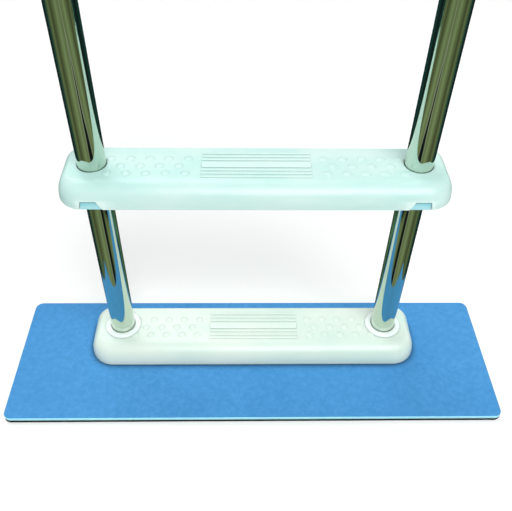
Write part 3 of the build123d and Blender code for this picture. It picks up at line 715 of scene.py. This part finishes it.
def floor_mat():
    """The foam sheet, with slight waves and a crush under the tread, and a black backing sheet that stands
    for the shadow line under its edge (a painted shadow).
    """
    low, high = node_box("mat_foam")
    rings = [mat_outline(low, high, 0.3 * MM, low.z), mat_outline(low, high, 0.0, low.z + 0.4 * MM)]
    for step in range(7):
        angle = radians(15 * step)
        inset = MAT_EDGE_ROUND * (1 - cos(angle))
        rings.append(mat_outline(low, high, inset, high.z - MAT_EDGE_ROUND * (1 - sin(angle))))
    reach = (high.y - low.y) / 2
    tread_box = node_box("tread_bottom")
    for step in range(1, MAT_RINGS):
        inset = MAT_EDGE_ROUND + (reach - 2 * MAT_EDGE_ROUND) * step / MAT_RINGS
        ring = mat_outline(low, high, inset, high.z)
        rings.append([Vector((p.x, p.y, p.z - mat_wave(p.x, p.y, *tread_box))) for p in ring])
    mesh = skin_rings("mat_foam", rings)
    foam_piece = new_object("mat_foam_sheet", mesh, "mat_foam", "floor_mat", "mat_foam")
    # painted light: the side faces take the lighter copy of the foam
    mesh.materials.append(MATERIALS["mat_edge_painted_light"])
    for face in mesh.polygons:
        face.material_index = 1 if abs(face.normal.z) < 0.75 else 0
    smooth(foam_piece, 60)
    # painted shadow: the black backing sheet stands for the dark shadow line along the mat's edge
    low, high = node_box("mat_backing")
    edge = 0.5 * MM
    levels = [(edge, low.z), (0.0, low.z + edge), (0.0, high.z - edge), (edge, high.z)]
    backing = skin_rings("mat_backing", [mat_outline(low, high, inset, z) for inset, z in levels])
    smooth(new_object("mat_backing_shadow_sheet", backing, "mat_backing", "floor_mat", "mat_backing"), 30)


treads()
lower_rails()
handrails()
floor_mat()


# ------------------------------------------------------------------ stage, lights and camera
def plain_material(name, colour, roughness=0.9):
    m = Nodes(name)
    m.set(Base_Color=(*colour, 1.0), Roughness=roughness)
    return m.material


def stage_floor():
    bpy.ops.mesh.primitive_plane_add(size=60)
    floor = bpy.context.object
    floor.name = "stage_floor"
    floor.data.materials.append(plain_material("pale_floor", (0.93, 0.93, 0.93)))


def soft_light(name, place, target, size, power, colour=(1, 1, 1)):
    data = bpy.data.lights.new(name, "AREA")
    data.shape = "RECTANGLE"
    data.size, data.size_y = size
    data.energy, data.color = power, colour
    light = bpy.data.objects.new(name, data)
    bpy.context.collection.objects.link(light)
    light.location = place
    light.rotation_euler = (Vector(target) - Vector(place)).to_track_quat("-Z", "Y").to_euler()


def glow_material(name, factor_of, stops):
    """A card's own soft glow, seen only as reflections; factor_of picks the place on a ramp of colours."""
    m = Nodes(name)
    glow = m.add("ShaderNodeEmission", Color=m.ramp(factor_of(m), stops), Strength=1.0)
    output = m.tree.nodes["Material Output"]
    m.tree.links.new(glow.outputs["Emission"], output.inputs["Surface"])
    return m.material


def fan_about_rails(m):
    """0 to 1 with the direction from the nearer rail's foot, slightly broken up."""
    parts = m.add("ShaderNodeSeparateXYZ", Vector=m.coords)
    out = m.math("SUBTRACT", m.math("ABSOLUTE", parts.outputs["X"]), rail_axis("right")[0].x)
    place = m.add("ShaderNodeCombineXYZ", X=out, Y=parts.outputs["Y"]).outputs["Vector"]
    turn = m.add("ShaderNodeTexGradient", gradient_type="RADIAL", Vector=place).outputs["Fac"]
    return m.math("ADD", turn, m.span(m.noise(2.6, 3.0), -0.018, 0.018))


def long_streaks(m):
    return m.noise(3.2, 3.0, (1.0, 1.0, 0.05))


def reflection_only(card):
    for ray in ("camera", "diffuse", "shadow", "transmission", "volume_scatter"):
        setattr(card, f"visible_{ray}", False)


NEAR_BLACK, DEEP_TEAL, OLIVE = (0.008, 0.012, 0.010), (0.012, 0.050, 0.045), (0.150, 0.190, 0.080)
PALE_OLIVE, STONE, PALE_GREEN = (0.240, 0.300, 0.150), (0.330, 0.360, 0.260), (0.60, 0.78, 0.50)
GROUND_FAN = (
    (0.00, DEEP_TEAL), (0.06, NEAR_BLACK), (0.10, PALE_OLIVE), (0.155, OLIVE), (0.175, NEAR_BLACK),
    (0.215, NEAR_BLACK), (0.225, STONE), (0.24, OLIVE), (0.30, PALE_OLIVE), (0.34, OLIVE),
    (0.40, (0.07, 0.08, 0.04)), (0.45, OLIVE),
    (0.52, DEEP_TEAL), (0.60, NEAR_BLACK), (0.72, DEEP_TEAL), (0.80, NEAR_BLACK), (0.88, (0.10, 0.22, 0.12)),
    (0.92, NEAR_BLACK), (1.00, DEEP_TEAL),
)
RING_STREAKS = (
    (0.34, DEEP_TEAL), (0.42, OLIVE), (0.46, NEAR_BLACK), (0.49, PALE_GREEN), (0.53, (0.70, 0.80, 0.74)),
    (0.56, OLIVE), (0.62, NEAR_BLACK), (0.68, DEEP_TEAL),
)


def reflection_cards():
    """Dark green cards that only mirrors see: a fan of stripes on the ground and a striped ring."""
    bpy.ops.mesh.primitive_plane_add(size=2 * RING_RADIUS, location=(0, 0, 0.4 * MM))
    ground = bpy.context.object
    ground.name = "ground_card"
    ground.data.materials.append(glow_material("ground_glow", fan_about_rails, GROUND_FAN))
    reflection_only(ground)
    bpy.ops.mesh.primitive_cylinder_add(vertices=96, radius=RING_RADIUS, depth=RING_HEIGHT,
                                        end_fill_type="NOTHING", location=(0, 0, RING_HEIGHT / 2))
    ring = bpy.context.object
    ring.name = "ring_card"
    ring.data.materials.append(glow_material("ring_glow", long_streaks, RING_STREAKS))
    reflection_only(ring)


def studio_world():
    world = bpy.data.worlds.new("studio")
    bpy.context.scene.world = world
    world.use_nodes = True
    background = world.node_tree.nodes["Background"]
    background.inputs["Color"].default_value = (1.0, 1.0, 1.0, 1.0)
    background.inputs["Strength"].default_value = 0.62


RING_RADIUS, RING_HEIGHT = 2.4, 1.5
CAMERA_PLACE = Vector((-0.0179, -0.6976, 0.8728))
CAMERA_PITCH, CAMERA_YAW, CAMERA_ROLL = radians(43.90), radians(1.64), radians(1.145)
CAMERA_LENS = 45.38


def camera():
    """A three-quarter view from above, close to the two lower treads."""
    data = bpy.data.cameras.new("camera")
    data.lens, data.sensor_width = CAMERA_LENS, 36.0
    data.clip_start, data.clip_end = 0.01, 100.0
    cam = bpy.data.objects.new("camera", data)
    bpy.context.collection.objects.link(cam)
    level = cos(CAMERA_PITCH)
    forward = Vector((sin(CAMERA_YAW) * level, cos(CAMERA_YAW) * level, -sin(CAMERA_PITCH)))
    right = Vector((cos(CAMERA_YAW), -sin(CAMERA_YAW), 0.0))
    up = right.cross(forward)
    rolled_right = cos(CAMERA_ROLL) * right + sin(CAMERA_ROLL) * up
    rolled_up = -sin(CAMERA_ROLL) * right + cos(CAMERA_ROLL) * up
    turn = Matrix((rolled_right, rolled_up, -forward)).transposed()
    cam.matrix_world = Matrix.Translation(CAMERA_PLACE) @ turn.to_4x4()
    bpy.context.scene.camera = cam


stage_floor()
reflection_cards()
studio_world()
soft_light("key", (0.7, -1.7, 3.3), (0, 0, 0.3), (2.2, 1.6), 84.0, (1.0, 1.0, 0.98))
soft_light("back", (-0.9, 1.8, 3.2), (0, 0, 0.3), (2.0, 2.0), 42.0, (0.96, 1.0, 1.0))
camera()
bpy.context.scene.view_settings.view_transform = "Standard"
